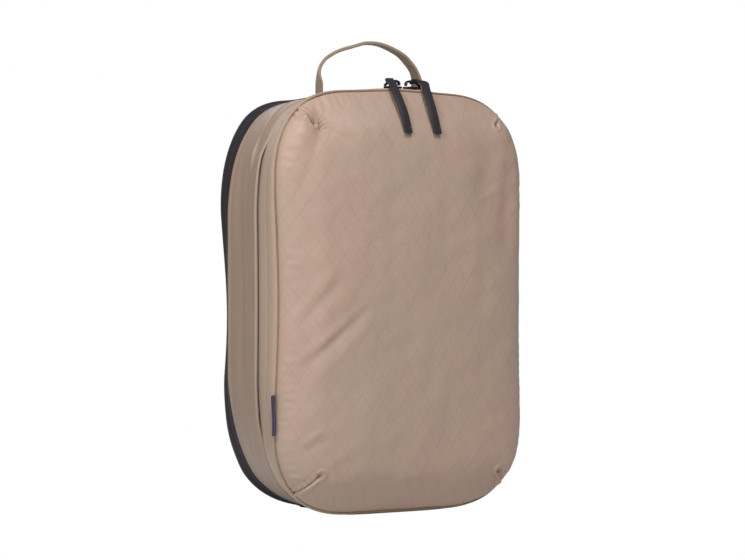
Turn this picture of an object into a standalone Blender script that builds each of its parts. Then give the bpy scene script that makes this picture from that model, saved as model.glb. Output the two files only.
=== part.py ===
"""Two-compartment packing cube: a soft fabric case with a zipped pillow lid on its front and its back.

The cube stands on its bottom edge. The frame is X to the right, Y from front to back, Z up, and its
origin is the middle of the flat bottom of the gusset. The back half repeats the front half, turned
about the divider, so most functions take side = FRONT or BACK and measure depth from the divider.
"""

import math

import bmesh
import bpy
import numpy as np
from mathutils import Matrix, Vector

MM = 0.001

# Driving dimensions of the case.
WIDTH = 260 * MM
HEIGHT = 360 * MM
GUSSET_DEPTH = 44 * MM
ZIP_BAND = 21 * MM  # both tapes of one zip, from the gusset to the lid's seam
PANEL_BULGE = 19 * MM  # how far a filled lid stands in front of its seam
CORNER_RADIUS = 84 * MM
CORNER_POWER = 2.57  # 2 is a round corner, more is squarer
CORNER_STEPS = 9

# Cloth, tapes and clearances.
CLOTH = 1.2 * MM
GAP = 0.3 * MM
SEAM_INSET = 3 * MM  # the lid's seam lies this far inside the gusset
BAND_INSET = 0.4 * MM  # the zip bands lie this far inside the gusset
BAND_CROWN = 4.2 * MM  # depth over which a band curls in to the lid's seam
TAPE = 1.0 * MM
BINDING = 1.0 * MM
BINDING_WIDTH = 6 * MM
DIVIDER = 0.8 * MM
END_TAB_LENGTH = 9 * MM
END_TAB_WIDTH = 11 * MM

# Zip chain and sliders.
CHAIN_GAP = 1.4 * MM  # between the two tapes, where a slider's post runs
COIL_WIDTH = 2.4 * MM
COIL = 1.4 * MM
SLIDER_LENGTH = 18 * MM
SLIDER_WIDTH = 9 * MM
SLIDER_PLATE = 1.2 * MM
SLIDER_POST = 0.8 * MM
BRIDGE_LENGTH = 13 * MM
BRIDGE_RISE = 5 * MM
BRIDGE_WIDTH = 3 * MM
BRIDGE_BAR = 1.6 * MM

# Pull straps: each runs from the bridge over the lid's edge and down its face.
PULL_WIDTH = 8 * MM
PULL_THICKNESS = 2 * MM
PULL_DROP = 45 * MM
PULL_LOOP_SHIFT = 1 * MM  # the furthest that its loop slides along the bar

# Carrying handle.
HANDLE_SPAN = 103 * MM
HANDLE_RISE = 40 * MM
HANDLE_SQUARE = 0.88  # 1 is a half ellipse, less has straighter legs
WEBBING_WIDTH = 20 * MM
WEBBING = 2 * MM
HANDLE_PIVOT = 7 * MM  # height of the fold line above the gusset
FOOT_WIDTH = 4 * MM
FOOT_FLARE = math.radians(27)

# Label tab in the front seam.
LABEL_HEIGHT = 33 * MM
LABEL_LENGTH = 8 * MM
LABEL_CENTRE = 83 * MM  # above the bottom
LABEL_ANGLE = math.radians(50)  # forward of straight out

FRONT = -1
BACK = 1

# Sliders: lid side, name, centre along its run, then how far along it its pull's top and tip lie
# from it. The front zip closes at the top, where the run is along X. The back one closes at the
# middle of the right side, where the run goes down.
SLIDERS = (
    (FRONT, "left", 1.6 * MM, -0.6 * MM, -5 * MM),
    (FRONT, "right", 21.9 * MM, 13.8 * MM, 4 * MM),
    (BACK, "upper", -10.5 * MM, 0.0, 0.0),
    (BACK, "lower", 10.5 * MM, 0.0, 0.0),
)

GUSSET_HALF = GUSSET_DEPTH / 2
ZIP_CENTRE = GUSSET_HALF + ZIP_BAND / 2
SEAM_DEPTH = GUSSET_HALF + ZIP_BAND
TAPE_INNER = BAND_INSET + TAPE
COIL_OUTER = TAPE_INNER + GAP
COIL_INNER = COIL_OUTER + COIL
FLAT_HALF = WIDTH / 2 - CORNER_RADIUS  # half of the straight run at the top and the bottom
SIDE_NAME = {FRONT: "front", BACK: "back"}

TAN = (0.366, 0.262, 0.202)
CHARCOAL = (0.036, 0.035, 0.042)
WEBBING_OLIVE = (0.214, 0.166, 0.122)
GUNMETAL = (0.022, 0.022, 0.026)
PULL_GREY = (0.042, 0.040, 0.050)
LABEL_BLUE = (0.045, 0.042, 0.17)
LINING = {FRONT: TAN, BACK: CHARCOAL}


def clear_scene():
    for item in list(bpy.data.objects):
        bpy.data.objects.remove(item, do_unlink=True)


def paint(item, colour, roughness=0.8, metallic=0.0):
    """Give one object its own plain material."""
    material = bpy.data.materials.new(item.name)
    material.use_nodes = True
    shader = material.node_tree.nodes["Principled BSDF"]
    shader.inputs["Base Color"].default_value = (*colour, 1.0)
    shader.inputs["Roughness"].default_value = roughness
    shader.inputs["Metallic"].default_value = metallic
    item.data.materials.append(material)


def pivot(name, place, parent=None):
    """An empty on a joint's axis, placed in world coordinates under an unturned parent."""
    empty = bpy.data.objects.new(name, None)
    empty.empty_display_size = 0.01
    bpy.context.scene.collection.objects.link(empty)
    base = Vector((0, 0, 0))
    if parent is not None:
        empty.parent = parent
        base = parent["world_place"]
    empty["world_place"] = tuple(place)
    empty.location = Vector(place) - Vector(base)
    return empty


def skin(name, rows, parent, wrap=False):
    """Close a grid of points into one solid.

    Each row is a closed loop of points. With wrap the last row joins the first, as round a hoop, and
    without it the first and last rows are capped.
    """
    rows = np.asarray(rows, dtype=float)
    count, around = rows.shape[:2]
    index = np.arange(count * around).reshape(count, around)
    near = index if wrap else index[:-1]
    far = np.roll(index, -1, axis=0) if wrap else index[1:]
    quads = np.stack((near, np.roll(near, -1, axis=1), np.roll(far, -1, axis=1), far), axis=-1)
    faces = quads.reshape(-1, 4).tolist()
    if not wrap:
        faces += [index[0].tolist(), index[-1].tolist()]
    mesh = bpy.data.meshes.new(name)
    mesh.from_pydata(rows.reshape(-1, 3).tolist(), [], faces)
    shape = bmesh.new()
    shape.from_mesh(mesh)
    bmesh.ops.recalc_face_normals(shape, faces=shape.faces)
    shape.to_mesh(mesh)
    shape.free()
    mesh.shade_smooth()
    mesh.set_sharp_from_angle(angle=math.radians(35))
    item = bpy.data.objects.new(name, mesh)
    bpy.context.scene.collection.objects.link(item)
    item.parent = parent
    item.matrix_parent_inverse = Matrix.Translation(-Vector(parent["world_place"]))
    return item


def outline(inset, depth):
    """The case's rounded outline, drawn inset from its outside at one depth.

    Each corner is a quarter of a superellipse. The points run round from the right end of the flat
    bottom, up the right side, over the top and down to the left end of the flat bottom.
    """
    half_width = WIDTH / 2 - inset
    half_height = HEIGHT / 2 - inset
    radius = min(max(CORNER_RADIUS - inset, CORNER_RADIUS / 5), 0.95 * half_width)
    turn = np.linspace(0, math.pi / 2, CORNER_STEPS + 1)
    rising = half_width - radius + radius * np.sin(turn) ** (2 / CORNER_POWER)
    falling = half_width - radius + radius * np.clip(np.cos(turn), 0, 1) ** (2 / CORNER_POWER)
    lift = half_height - half_width
    x = np.concatenate((rising, falling, -rising, -falling))
    z = np.concatenate((-falling - lift, rising + lift, falling + lift, -rising - lift))
    return np.column_stack((x, np.full(len(x), depth), z + HEIGHT / 2))


def top_at(x):
    """Height of the gusset's outside over a place along X, on the flat top or just past its end."""
    past = max(abs(x) - FLAT_HALF, 0) / CORNER_RADIUS
    return HEIGHT - CORNER_RADIUS * (1 - (1 - past**CORNER_POWER) ** (1 / CORNER_POWER))


def hoop(name, section, side, parent, closed=True):
    """Carry a section of (inset, depth) points round the outline.

    An open hoop leaves out the flat bottom, as a zip does above its hinge.
    """
    loops = np.stack([outline(inset, side * depth) for inset, depth in section], axis=1)
    return skin(name, loops, parent, wrap=closed)


def oblong(inset, width, depth, thickness):
    """Section of a flat strip: it starts at depth and goes on for width, thickness below inset."""
    return (
        (inset, depth),
        (inset, depth + width),
        (inset + thickness, depth + width),
        (inset + thickness, depth),
    )


def ribbon(name, path, widths, thickness, across, parent):
    """A flat strap along a path: its width lies along across, its thickness at right angles."""
    path = np.asarray(path, dtype=float)
    across = np.asarray(across, dtype=float)
    normal = np.cross(np.gradient(path, axis=0), across)
    normal /= np.linalg.norm(normal, axis=1, keepdims=True)
    side = np.outer(np.broadcast_to(widths, len(path)) / 2, across)
    up = normal * thickness / 2
    rows = np.stack((path + side + up, path - side + up, path - side - up, path + side - up), axis=1)
    return skin(name, rows, parent)


def smooth_path(points, count):
    """Points at even steps of length along a cubic drawn through a few chosen ones."""
    points = np.asarray(points, dtype=float)
    slope = np.gradient(points, axis=0)
    share = np.linspace(0, 1, 9)[:, None]
    runs = [points[:1]]
    for start, end, leave, arrive in zip(points, points[1:], slope, slope[1:]):
        curve = (
            (2 * share**3 - 3 * share**2 + 1) * start
            + (share**3 - 2 * share**2 + share) * leave
            + (3 * share**2 - 2 * share**3) * end
            + (share**3 - share**2) * arrive
        )
        runs.append(curve[1:])
    fine = np.concatenate(runs)
    length = np.concatenate(([0], np.cumsum(np.linalg.norm(np.diff(fine, axis=0), axis=1))))
    steps = np.linspace(0, length[-1], count)
    return np.column_stack([np.interp(steps, length, fine[:, axis]) for axis in range(3)])


def bulge(distance):
    """Height of a lid over its seam: a steep wall at the edge, then an almost flat crown."""
    share = min(distance / (WIDTH / 2 - SEAM_INSET), 1.0)
    return PANEL_BULGE * math.sqrt(1 - (1 - share) ** 14)


def add_gusset(body):
    """The side wall that goes all round, with the seam bindings inside it."""
    paint(hoop("side_gusset", oblong(0, GUSSET_DEPTH, -GUSSET_HALF, CLOTH), FRONT, body), TAN)
    start = GUSSET_HALF - BINDING_WIDTH / 2
    for side in (FRONT, BACK):
        section = oblong(TAPE_INNER + GAP, BINDING_WIDTH, start, BINDING)
        binding = hoop(f"{SIDE_NAME[side]}_gusset_binding", section, side, body)
        paint(binding, LINING[side])


def add_divider(body):
    """The sheet between the two compartments, with its bound edge."""
    inset = CLOTH + GAP
    sheet = [outline(inset, depth) for depth in (-DIVIDER / 2, DIVIDER / 2)]
    paint(skin("divider", sheet, body), CHARCOAL)
    section = oblong(inset, BINDING_WIDTH / 2, DIVIDER / 2 + GAP, BINDING)
    paint(hoop("divider_binding", section, FRONT, body), TAN)


def add_zip(side, body, lid):
    """Two tapes and two coils. One of each stays on the gusset and one opens with the lid."""
    name = SIDE_NAME[side]
    near = ZIP_CENTRE - CHAIN_GAP / 2
    far = ZIP_CENTRE + CHAIN_GAP / 2
    gusset_edge = GUSSET_HALF + GAP
    fixed = oblong(BAND_INSET, near - gusset_edge, gusset_edge, TAPE)
    paint(hoop(f"{name}_zip_tape_gusset", fixed, side, body, closed=False), LINING[side])
    curl = SEAM_DEPTH - GAP - BAND_CROWN
    moving = (
        (BAND_INSET, far),
        (BAND_INSET + TAPE / 4, curl),
        (SEAM_INSET, SEAM_DEPTH - GAP),
        (SEAM_INSET + TAPE, SEAM_DEPTH - GAP),
        (TAPE_INNER + TAPE / 4, curl),
        (TAPE_INNER, far),
    )
    paint(hoop(f"{name}_zip_tape_lid", moving, side, lid, closed=False), LINING[side])
    coil = oblong(COIL_OUTER, COIL_WIDTH, near - COIL_WIDTH, COIL)
    paint(hoop(f"{name}_zip_coil_gusset", coil, side, body, closed=False), LINING[side], 0.4)
    coil = oblong(COIL_OUTER, COIL_WIDTH, far, COIL)
    paint(hoop(f"{name}_zip_coil_lid", coil, side, lid, closed=False), LINING[side], 0.4)


def add_hinge(side, body):
    """The strip that closes the band along the flat bottom, and the tabs over the zip's ends."""
    name = SIDE_NAME[side]
    seam = SEAM_DEPTH - 2 * GAP
    curl = seam - BAND_CROWN
    gusset_edge = GUSSET_HALF + GAP
    section = (
        (BAND_INSET, gusset_edge),
        (BAND_INSET + TAPE / 4, curl),
        (SEAM_INSET, seam),
        (SEAM_INSET + TAPE, seam),
        (TAPE_INNER + TAPE / 4, curl),
        (TAPE_INNER, gusset_edge),
    )
    end = FLAT_HALF - GAP
    rows = [[(x, side * depth, height) for height, depth in section] for x in (-end, end)]
    paint(skin(f"{name}_hinge_strip", rows, body), LINING[side])
    bottom = TAPE_INNER + TAPE / 4 + GAP
    block = oblong(bottom, END_TAB_WIDTH, ZIP_CENTRE - END_TAB_WIDTH / 2, BINDING)
    for way, place in ((-1, "left"), (1, "right")):
        ends = (way * (end - END_TAB_LENGTH), way * (end - GAP))
        rows = [[(x, side * depth, height) for height, depth in block] for x in ends]
        paint(skin(f"{name}_zip_end_tab_{place}", rows, body), LINING[side])


def add_panel(side, lid):
    """The pillow-shaped lid panel, one cloth wall thick, and the binding of its seam inside."""
    name = SIDE_NAME[side]
    distances = np.array((0, 1.5, 4, 9, 20, 48, 92)) * MM
    heights = np.array([bulge(distance) for distance in distances])
    wall = np.where(heights > 0, CLOTH, 0)
    outer = [
        outline(SEAM_INSET + distance, side * (SEAM_DEPTH + height))
        for distance, height in zip(distances, heights)
    ]
    inner = [
        outline(SEAM_INSET + CLOTH + distance, side * (SEAM_DEPTH + height - cloth))
        for distance, height, cloth in zip(distances, heights, wall)
    ]
    paint(skin(f"{name}_panel", inner[::-1] + outer, lid), LINING[side])
    depth = SEAM_DEPTH - GAP - BAND_CROWN
    section = oblong(SEAM_INSET + TAPE + 2 * GAP, BAND_CROWN, depth, 1.5 * BINDING)
    paint(hoop(f"{name}_seam_binding", section, side, lid), LINING[side])


def add_label(lid):
    """A small folded label, held in the left side of the front seam."""
    out = np.array((-math.cos(LABEL_ANGLE), -math.sin(LABEL_ANGLE), 0))
    root = np.array((SEAM_INSET - GAP - CLOTH / 2 - WIDTH / 2, -SEAM_DEPTH - CLOTH, LABEL_CENTRE))
    path = [root, root + out * LABEL_LENGTH / 2, root + out * LABEL_LENGTH]
    paint(ribbon("side_label", path, LABEL_HEIGHT, BINDING, (0, 0, 1), lid), LABEL_BLUE)


def add_slider(side, place, centre, carrier):
    """Slider body: two plates joined by a post that runs in the chain's gap, and a bridge on top.

    The section is an I lying across the zip. Its width follows the slider's nose and shoulders.
    """
    name = f"{SIDE_NAME[side]}_slider_{place}"
    top = HEIGHT - BAND_INSET + GAP
    bottom = HEIGHT - COIL_INNER - GAP
    post = SLIDER_POST / 2
    rows = []
    for along, share in ((-0.5, 0.62), (-0.3, 0.85), (0.15, 1.0), (0.38, 0.95), (0.5, 0.7)):
        half = share * SLIDER_WIDTH / 2
        section = (
            (-half, top + SLIDER_PLATE),
            (half, top + SLIDER_PLATE),
            (half, top),
            (post, top),
            (post, bottom),
            (half, bottom),
            (half, bottom - SLIDER_PLATE),
            (-half, bottom - SLIDER_PLATE),
            (-half, bottom),
            (-post, bottom),
            (-post, top),
            (-half, top),
        )
        x = centre + along * SLIDER_LENGTH
        rows.append([(x, side * ZIP_CENTRE + across, height) for across, height in section])
    paint(skin(f"{name}_body", rows, carrier), GUNMETAL, 0.4, 0.6)
    share = np.linspace(-1, 1, 11)
    rise = (1 - np.abs(share) ** 5) * (BRIDGE_RISE - BRIDGE_BAR) + BRIDGE_BAR / 2
    path = np.column_stack((
        centre + share * BRIDGE_LENGTH / 2,
        np.full(len(share), side * ZIP_CENTRE),
        top + SLIDER_PLATE + GAP + rise,
    ))
    bridge = ribbon(f"{name}_bridge", path, BRIDGE_WIDTH, BRIDGE_BAR, (0, 1, 0), carrier)
    paint(bridge, GUNMETAL, 0.4, 0.6)


def bridge_bar():
    """Height of the middle of the bridge's bar, which is the pull's axis."""
    return HEIGHT - BAND_INSET + 2 * GAP + SLIDER_PLATE + BRIDGE_RISE - BRIDGE_BAR / 2


def add_pull(side, place, centre, top_shift, tip_shift, hanger):
    """A strap that wraps the bridge's bar, crosses the zip band and lies down the lid's face."""
    bar = bridge_bar()
    loop = math.hypot(BRIDGE_WIDTH, BRIDGE_BAR) / 2 + GAP + PULL_THICKNESS / 2
    stand_off = PULL_THICKNESS / 2 + 2 * GAP
    seam_top = HEIGHT - SEAM_INSET
    face = SEAM_DEPTH + stand_off
    band = HEIGHT + stand_off
    turns = np.radians((-30, 15, 60, 105, 145))
    course = [(ZIP_CENTRE - loop * math.cos(turn), bar + loop * math.sin(turn)) for turn in turns]
    course += (
        (SEAM_DEPTH - 2 * stand_off, band + stand_off),
        (face + bulge(1.5 * MM), seam_top + stand_off),
        (face + bulge(8 * MM), seam_top - 7 * MM),
        (face + bulge(20 * MM), seam_top - 20 * MM),
        (face + bulge(40 * MM), bar - PULL_DROP),
    )
    step = np.arange(len(course))
    share = np.clip((step - 1) / 4, 0, 1)
    fall = np.clip((step - 5) / 4, 0, 1)
    loop_shift = min(top_shift, PULL_LOOP_SHIFT)
    x = centre + loop_shift + (top_shift - loop_shift) * share + (tip_shift - top_shift) * fall
    points = [(across, side * depth, height) for across, (depth, height) in zip(x, course)]
    path = smooth_path(points, 26)
    narrow = np.interp(np.linspace(0, 1, len(path)), (0, 0.14, 0.24, 1), (0.5, 0.5, 1, 1))
    widths = narrow * PULL_WIDTH
    name = f"{SIDE_NAME[side]}_pull_{place}"
    paint(ribbon(name, path, widths, PULL_THICKNESS, (1, 0, 0), hanger), PULL_GREY, 0.55)


def turn_to_right_side(carrier, lid, side, centre):
    """Turn a finished slider with its pull from the top run onto the right side's run."""
    place = Vector((WIDTH / 2, side * ZIP_CENTRE, HEIGHT / 2 - centre))
    carrier.location = place - Vector(lid["world_place"])
    carrier.rotation_euler.y = math.pi / 2


def add_handle(body):
    """A webbing arch over the top: sewn feet that stay on the gusset, and the arch that folds.

    Each end of the arch is a half disc about the fold line, so that it turns clear of its foot.
    """
    gusset_top = top_at(HANDLE_SPAN / 2)
    height = gusset_top + HANDLE_PIVOT
    half, eye = HANDLE_SPAN / 2, FOOT_WIDTH / 2
    for way, place in ((-1, "left"), (1, "right")):
        x = way * half
        foot = [(x, 0, gusset_top + GAP), (x, 0, height - eye - GAP)]
        anchor = ribbon(f"handle_foot_{place}", foot, WEBBING_WIDTH, WEBBING, (0, 1, 0), body)
        paint(anchor, WEBBING_OLIVE, 0.9)
    swing = pivot("handle_axis", (0, 0, height), body)
    turn = np.radians((84, 60, 40, 20))
    arch = np.linspace(0, math.pi, 17)
    reach = -half * np.sign(np.cos(arch)) * np.abs(np.cos(arch)) ** HANDLE_SQUARE
    rise = (HANDLE_RISE - HANDLE_PIVOT - WEBBING / 2) * np.abs(np.sin(arch)) ** HANDLE_SQUARE
    flare = np.minimum(FOOT_WIDTH + 2 * rise * math.tan(FOOT_FLARE), WEBBING_WIDTH)
    across = np.concatenate((np.full(len(turn), -half), reach, np.full(len(turn), half)))
    up = np.concatenate((-eye * np.sin(turn), rise, -eye * np.sin(turn[::-1])))
    widths = np.concatenate((2 * eye * np.cos(turn), flare, 2 * eye * np.cos(turn[::-1])))
    path = np.column_stack((across, np.zeros(len(up)), height + up))
    strap = ribbon("handle_webbing", path, widths, WEBBING, (0, 1, 0), swing)
    paint(strap, WEBBING_OLIVE, 0.9)


def build():
    clear_scene()
    body = pivot("cube_body", (0, 0, 0))
    add_gusset(body)
    add_divider(body)
    lids = {}
    for side in (FRONT, BACK):
        seam = (0, side * (SEAM_DEPTH - GAP / 2), SEAM_INSET - GAP / 2)
        lids[side] = pivot(f"{SIDE_NAME[side]}_lid_axis", seam, body)
        add_zip(side, body, lids[side])
        add_hinge(side, body)
        add_panel(side, lids[side])
    add_label(lids[FRONT])
    for side, place, centre, top_shift, tip_shift in SLIDERS:
        name = f"{SIDE_NAME[side]}_{place}"
        track = (centre, side * ZIP_CENTRE, HEIGHT)
        carrier = pivot(f"{name}_slider_axis", track, lids[side])
        add_slider(side, place, centre, carrier)
        bar = (centre, side * ZIP_CENTRE, bridge_bar())
        hanger = pivot(f"{name}_pull_axis", bar, carrier)
        add_pull(side, place, centre, top_shift, tip_shift, hanger)
        if side == BACK:
            turn_to_right_side(carrier, lids[side], side, centre)
    add_handle(body)


build()
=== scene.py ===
# %% [markdown]
# # A packing cube in cloth, zip and webbing
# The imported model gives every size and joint. These cells dress it: each cell of text says what a
# piece is on the real cube and why it is made this way, and the cell of code after it makes it.
# The cube stands with its front towards -Y. The frame is loaded first, and nothing in it is moved.

# %% Load the frame
import math

import bmesh
import bpy
import numpy as np
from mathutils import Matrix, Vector


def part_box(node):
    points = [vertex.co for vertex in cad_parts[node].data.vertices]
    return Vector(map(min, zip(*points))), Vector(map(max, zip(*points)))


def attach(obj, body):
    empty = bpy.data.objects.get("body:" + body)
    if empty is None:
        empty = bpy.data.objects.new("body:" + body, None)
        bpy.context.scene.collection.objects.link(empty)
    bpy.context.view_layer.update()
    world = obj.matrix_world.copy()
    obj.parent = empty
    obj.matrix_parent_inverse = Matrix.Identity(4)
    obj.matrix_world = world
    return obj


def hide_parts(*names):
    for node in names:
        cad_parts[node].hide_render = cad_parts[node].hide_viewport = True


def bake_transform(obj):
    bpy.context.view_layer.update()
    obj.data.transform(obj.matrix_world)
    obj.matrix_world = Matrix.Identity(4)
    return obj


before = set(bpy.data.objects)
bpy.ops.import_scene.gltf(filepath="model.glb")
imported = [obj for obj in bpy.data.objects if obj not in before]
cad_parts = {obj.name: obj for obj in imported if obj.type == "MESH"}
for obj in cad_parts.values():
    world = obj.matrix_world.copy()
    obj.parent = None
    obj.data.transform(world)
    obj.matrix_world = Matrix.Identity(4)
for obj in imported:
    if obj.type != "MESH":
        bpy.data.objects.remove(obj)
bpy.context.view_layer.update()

# %% [markdown]
# ## Sizes
# Positions come from the boxes of the frame's nodes, so that every surface below lands on its CAD
# solid. Only two numbers of the outline can't be read from a box, its corner's radius and how
# square the corner is, so they are named here.

# %% Measure the frame
MM = 0.001
FRONT = -1
BACK = 1
SIDES = {"front": FRONT, "back": BACK}
CORNER_RADIUS = 84 * MM
CORNER_POWER = 2.57

HALF_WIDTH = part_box("side_gusset")[1][0]
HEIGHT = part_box("side_gusset")[1][2]
GUSSET_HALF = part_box("side_gusset")[1][1]
SEAM_DEPTH = -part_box("front_panel")[1][1]
CROWN_DEPTH = -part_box("front_panel")[0][1]
SEAM_INSET = HALF_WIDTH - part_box("front_panel")[1][0]
CHAIN_NEAR = -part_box("front_zip_tape_gusset")[0][1]
CHAIN_FAR = -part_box("front_zip_tape_lid")[1][1]
ZIP_CENTRE = (CHAIN_NEAR + CHAIN_FAR) / 2
FLAT_HALF = HALF_WIDTH - CORNER_RADIUS
MIDDLE = HEIGHT / 2
print(f"gusset {2 * HALF_WIDTH / MM:.0f} x {HEIGHT / MM:.0f} mm")
print(f"seams {SEAM_DEPTH / MM:.0f} mm from the middle")

# %% [markdown]
# ## Making a mesh from a grid of points
# Every piece is a surface worked out with numpy: a grid of points whose two directions are, for
# example, the way round the cube and the way across a tape. One function turns any such grid into
# a mesh. It can close the grid in either direction, as round a hoop, and it stores cloth lengths
# in metres as a UV map, so that a weave keeps its real scale on every curve.


# %% Grid to mesh
def grid_mesh(name, points, cloth=None, round_u=False, round_v=False, caps=False, recalc=True):
    """Quads between neighbours of an (n, m, 3) grid, closed in u or v where asked.

    cloth holds (u, v) lengths, one row or column more than points where the grid is closed. With
    caps the first and last rows, which must be closed in v, are filled.
    """
    points = np.asarray(points, dtype=float)
    n, m = points.shape[:2]
    index = np.arange(n * m).reshape(n, m)
    if round_u:
        index = np.vstack((index, index[:1]))
    if round_v:
        index = np.hstack((index, index[:, :1]))
    corners = (index[:-1, :-1], index[1:, :-1], index[1:, 1:], index[:-1, 1:])
    faces = np.stack(corners, axis=-1).reshape(-1, 4)
    mesh = bpy.data.meshes.new(name)
    ends = [index[0, :-1].tolist(), index[-1, :-1].tolist()] if caps else []
    mesh.from_pydata(points.reshape(-1, 3), [], faces.tolist() + ends)
    if cloth is not None:
        cloth = np.asarray(cloth, dtype=float)
        loops = np.stack((cloth[:-1, :-1], cloth[1:, :-1], cloth[1:, 1:], cloth[:-1, 1:]), axis=2)
        values = loops.reshape(-1, 2)
        for end in (0, -1)[: len(ends)]:
            values = np.vstack((values, cloth[end, : index.shape[1] - 1]))
        layer = mesh.uv_layers.new(name="cloth")
        layer.data.foreach_set("uv", values.ravel())
    if recalc:
        shape = bmesh.new()
        shape.from_mesh(mesh)
        bmesh.ops.recalc_face_normals(shape, faces=shape.faces)
        shape.to_mesh(mesh)
        shape.free()
    mesh.shade_smooth()
    piece = bpy.data.objects.new(name, mesh)
    bpy.context.scene.collection.objects.link(piece)
    return piece


def dress(piece, finish, body, slot, *nodes):
    """Give a piece its material, the body it rides on and the nodes it stands for; slot is not used."""
    piece.data.materials.append(finish)
    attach(piece, body)
    if nodes:
        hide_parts(*nodes)
    print(f"{piece.name}: {len(piece.data.polygons)} faces on {body}")
    return piece


# %% [markdown]
# ## The outline
# All the sewn rings of the cube follow one outline, a rectangle with superellipse corners. It is
# sampled at even steps of length. Filled cloth bulges forward and pays for it elsewhere. The long
# straight sides are drawn in a little, and the back, which holds less, shrinks at its corners,
# so the cube tapers backwards there. Top and bottom taper by their own amounts at each depth.


# %% Outline with its outward directions
def corner_points():
    """Dense points of the outline, counter-clockwise from the middle of the bottom.

    Each corner is (r sin(t)^(2/p), r cos(t)^(2/p)) about its centre, for t from 0 to 90 degrees.
    """
    turn = np.linspace(0, math.pi / 2, 120)
    rise = CORNER_RADIUS * np.sin(turn) ** (2 / CORNER_POWER)
    fall = CORNER_RADIUS * np.clip(np.cos(turn), 0, 1) ** (2 / CORNER_POWER)
    flat = HALF_WIDTH - CORNER_RADIUS
    wall = MIDDLE - CORNER_RADIUS
    x = np.concatenate(([0], flat + rise, flat + fall, -flat - rise, -flat - fall, [0]))
    z = np.concatenate(([-MIDDLE], -wall - fall, wall + rise, wall + fall, -wall - rise, [-MIDDLE]))
    return np.column_stack((x, z + MIDDLE))


def even_outline(count, start=0.0, end=1.0):
    """Points, outward directions and lengths along the outline, at even steps from start to end."""
    dense = corner_points()
    length = np.concatenate(([0], np.cumsum(np.linalg.norm(np.diff(dense, axis=0), axis=1))))
    along = np.linspace(start, end, count) * length[-1]
    place = np.column_stack([np.interp(along, length, dense[:, axis]) for axis in (0, 1)])
    reach = 2 * MM
    ahead, behind = (np.mod(along + step, length[-1]) for step in (reach, -reach))
    tangent = np.column_stack([
        np.interp(ahead, length, dense[:, axis]) - np.interp(behind, length, dense[:, axis])
        for axis in (0, 1)
    ])
    tangent /= np.linalg.norm(tangent, axis=1, keepdims=True)
    outward = np.column_stack((tangent[:, 1], -tangent[:, 0]))
    return place, outward, along


def ease(value):
    """0 to 1 with level ends: 3t^2 - 2t^3 of a value clipped to 0..1."""
    value = np.clip(value, 0, 1)
    return value * value * (3 - 2 * value)


# How far the corners are drawn in at four places, front to back: the front seam, the gusset's front
# and back edges, and the back seam.
TAPER_DEPTHS = (-SEAM_DEPTH, -GUSSET_HALF, GUSSET_HALF, SEAM_DEPTH)
TOP_TAPER = np.array((2, 7, 11, 8)) * MM
BOTTOM_TAPER = np.array((0, 6, 14, 12)) * MM


def window(value, start, length):
    """0 up to a start, then a soft rise to 1 over a length, both in millimetres."""
    return ease((value / MM - start) / length)


def draw_in(place, outward, depth):
    """How far the outline is pulled in at each depth: bells over the sides, and over the corners."""
    x, z = place[:, 0], place[:, 1]
    upright = np.abs(outward[:, 0]) ** 2
    slack = np.where(x < 0, 1.0, 0.35)
    front_bell = np.cos(np.clip((z - MIDDLE) / (132 * MM), -1, 1) * math.pi / 2) ** 2 * upright * slack
    back_bell = np.cos(np.clip((z - MIDDLE + 14 * MM) / (115 * MM), -1, 1) * math.pi / 2) ** 2
    back_side = (4 + 8 * back_bell) * MM * upright * np.where(x < 0, 1.0, 0.2)
    above = z > MIDDLE
    side, rise = np.abs(x), np.abs(z - MIDDLE)
    top_corner = window(side, 0, 60) * window(rise, 70, 90)
    low_corner = window(side, 20, 90) * window(rise, 60, 90)
    corner = np.where(above, top_corner, low_corner)[:, None]
    top_taper = np.interp(depth, TAPER_DEPTHS, TOP_TAPER)
    bottom_taper = np.interp(depth, TAPER_DEPTHS, BOTTOM_TAPER)
    taper = np.where(above[:, None], top_taper, bottom_taper)
    front = np.interp(-depth, (0, GUSSET_HALF, SEAM_DEPTH), (0, 1.0 * MM, 4.5 * MM))
    back = np.interp(depth, (GUSSET_HALF, SEAM_DEPTH), (0, 1.0))
    return front_bell[:, None] * front + back_side[:, None] * back + corner * taper


def hoop(inset, depth, ring, lift=0.0):
    """Points (n, m, 3) of a ring: inset from the outline and depth are (m,) or (n, m) arrays."""
    place, outward, _ = ring
    depth = np.broadcast_to(depth, (len(place), np.shape(depth)[-1]))
    pulled = inset + draw_in(place, outward, depth[0]) - lift
    x = place[:, :1] - outward[:, :1] * pulled
    z = place[:, 1:] - outward[:, 1:] * pulled
    return np.stack((x, depth, z), axis=-1)


RING_STEPS = 480
closed_ring = even_outline(RING_STEPS + 1)
closed_ring = (closed_ring[0][:-1], closed_ring[1][:-1], closed_ring[2])
PERIMETER = closed_ring[2][-1]
OPEN_FROM = FLAT_HALF / PERIMETER
open_ring = even_outline(RING_STEPS, OPEN_FROM, 1 - OPEN_FROM)
print(f"outline {PERIMETER / MM:.0f} mm round")

# %% [markdown]
# ## Shader arithmetic
# A weave is a formula, so it is written as one. A `Wire` is one output socket of a material, and
# each operator adds its Math node. `Finish` starts a material and has a single method for every
# other kind of node.


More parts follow.
